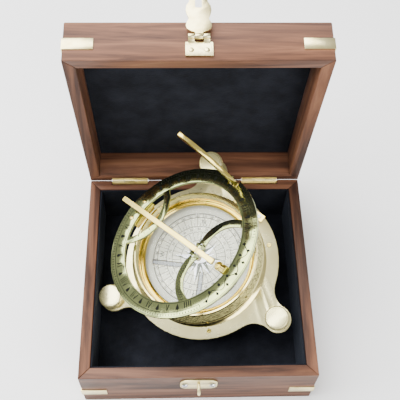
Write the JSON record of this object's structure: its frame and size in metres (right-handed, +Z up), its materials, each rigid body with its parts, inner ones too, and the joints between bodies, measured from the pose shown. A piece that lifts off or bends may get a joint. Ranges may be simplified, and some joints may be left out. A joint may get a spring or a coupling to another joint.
{
  "type": "cased pocket sundial",
  "caption": "Brass equinoctial sundial with hinged hour ring, gnomon, latitude arc and compass, leaning in its open velvet-lined hardwood case",
  "frame": {"origin": "middle of the case's underside, on which it rests", "axes": "+X right, +Y towards the lid's hinges at the back, +Z up; the case stands on the XY plane"},
  "size_m": [0.1512, 0.1819, 0.1978],
  "materials": {
    "wood": "oiled dark hardwood, satin",
    "velvet": "black velvet",
    "brass": "polished brass",
    "dark_brass": "brass, engraved and blackened",
    "steel": "bright steel",
    "card": "silvered and engraved",
    "crystal": "clear glass",
    "vial": "tinted spirit vial"
  },
  "bodies": {
    "case": {"base_wall_front": "wood", "base_wall_back": "wood", "base_wall_left": "wood", "base_wall_right": "wood", "base_floor": "wood", "floor_lining": "velvet", "lining_front": "velvet", "lining_back": "velvet", "lining_left": "velvet", "lining_right": "velvet", "catch_plate": "brass", "catch_screw_left": "steel", "catch_screw_right": "steel", "catch_staple": "brass", "base_corner_left": "brass", "base_corner_right": "brass", "hinge_base_leaf_left": "brass", "hinge_base_leaf_right": "brass", "hinge_pin_left": "steel", "hinge_pin_right": "steel"},
    "lid": {"lid_wall_front": "wood", "lid_wall_back": "wood", "lid_wall_left": "wood", "lid_wall_right": "wood", "lid_panel": "wood", "lid_lining": "velvet", "lid_corner_left": "brass", "lid_corner_right": "brass", "hinge_lid_leaf_left": "brass", "hinge_lid_leaf_right": "brass", "hasp_plate": "brass", "hasp_rivet_left": "brass", "hasp_rivet_right": "brass", "hasp_pin": "steel"},
    "hasp": {"hasp_strap": "brass"},
    "instrument": {"base_plate": "brass", "compass_drum": "brass", "bezel_ring": "brass", "compass_glass": "crystal", "compass_card": "card", "level_vial_cross": "vial", "level_vial_long": "vial", "needle_post": "steel", "ring_hinge_bracket": "brass", "ring_hinge_pin": "steel", "arc_bracket": "brass", "arc_pin": "steel"},
    "ring": {"hour_ring": "dark_brass", "ring_hinge_leaf": "brass", "ring_rivet_left": "brass", "ring_rivet_right": "brass", "ring_lift_knob": "brass", "gnomon_pin": "steel"},
    "gnomon": {"gnomon": "brass"},
    "arc": {"latitude_arc": "brass"},
    "needle": {"compass_needle": "steel", "needle_cap": "brass"},
    "screw_right": {"levelling_screw_right": "brass"},
    "screw_rear": {"levelling_screw_rear": "brass"},
    "screw_left": {"levelling_screw_left": "brass"}
  },
  "joints": [
    {"name": "lid_hinge", "type": "hinge", "parent": "case", "child": "lid", "pos_m": [0, 0.07315, 0.043], "axis": [-1, 0, 0], "range_deg": [-83, 0]},
    {"name": "hasp_hinge", "type": "hinge", "parent": "lid", "child": "hasp", "pos_m": [0, 0.06884, 0.19294], "axis": [1, 0, 0], "range_deg": [0, 180]},
    {"name": "lift_out", "type": "slide", "parent": "case", "child": "instrument", "axis": [0, -0.3998, 0.9166], "range_m": [0, 0.7]},
    {"name": "ring_hinge", "type": "hinge", "parent": "instrument", "child": "ring", "pos_m": [-0.03877, 0.03421, 0.06627], "axis": [-0.6243, -0.714, -0.3169], "range_deg": [-22.5, 67.5]},
    {"name": "gnomon_hinge", "type": "hinge", "parent": "ring", "child": "gnomon", "pos_m": [-0.00092, -0.01083, 0.09319], "axis": [0.6243, 0.714, 0.3169], "range_deg": [-6, 84]},
    {"name": "arc_hinge", "type": "hinge", "parent": "instrument", "child": "arc", "pos_m": [0.03588, 0.0397, 0.05832], "axis": [-0.7564, 0.6539, 0.0166], "range_deg": [0, 25]},
    {"name": "needle_turn", "type": "hinge", "parent": "instrument", "child": "needle", "pos_m": [0.0033, 0.0102, 0.0375], "axis": [-0.1954, -0.25, 0.9483], "continuous": true},
    {"name": "screw_turn_right", "type": "hinge", "parent": "instrument", "child": "screw_right", "pos_m": [0.05284, -0.03263, 0.03641], "axis": [-0.1954, -0.25, 0.9483], "continuous": true},
    {"name": "screw_turn_rear", "type": "hinge", "parent": "instrument", "child": "screw_rear", "pos_m": [0.01394, 0.07212, 0.05602], "axis": [-0.1954, -0.25, 0.9483], "continuous": true},
    {"name": "screw_turn_left", "type": "hinge", "parent": "instrument", "child": "screw_left", "pos_m": [-0.05688, -0.00889, 0.02007], "axis": [-0.1954, -0.25, 0.9483], "continuous": true}
  ],
  "couplings": [
    {"joint": "lid_hinge", "follows": "lift_out", "rad_per_m": -2.0695}
  ]
}
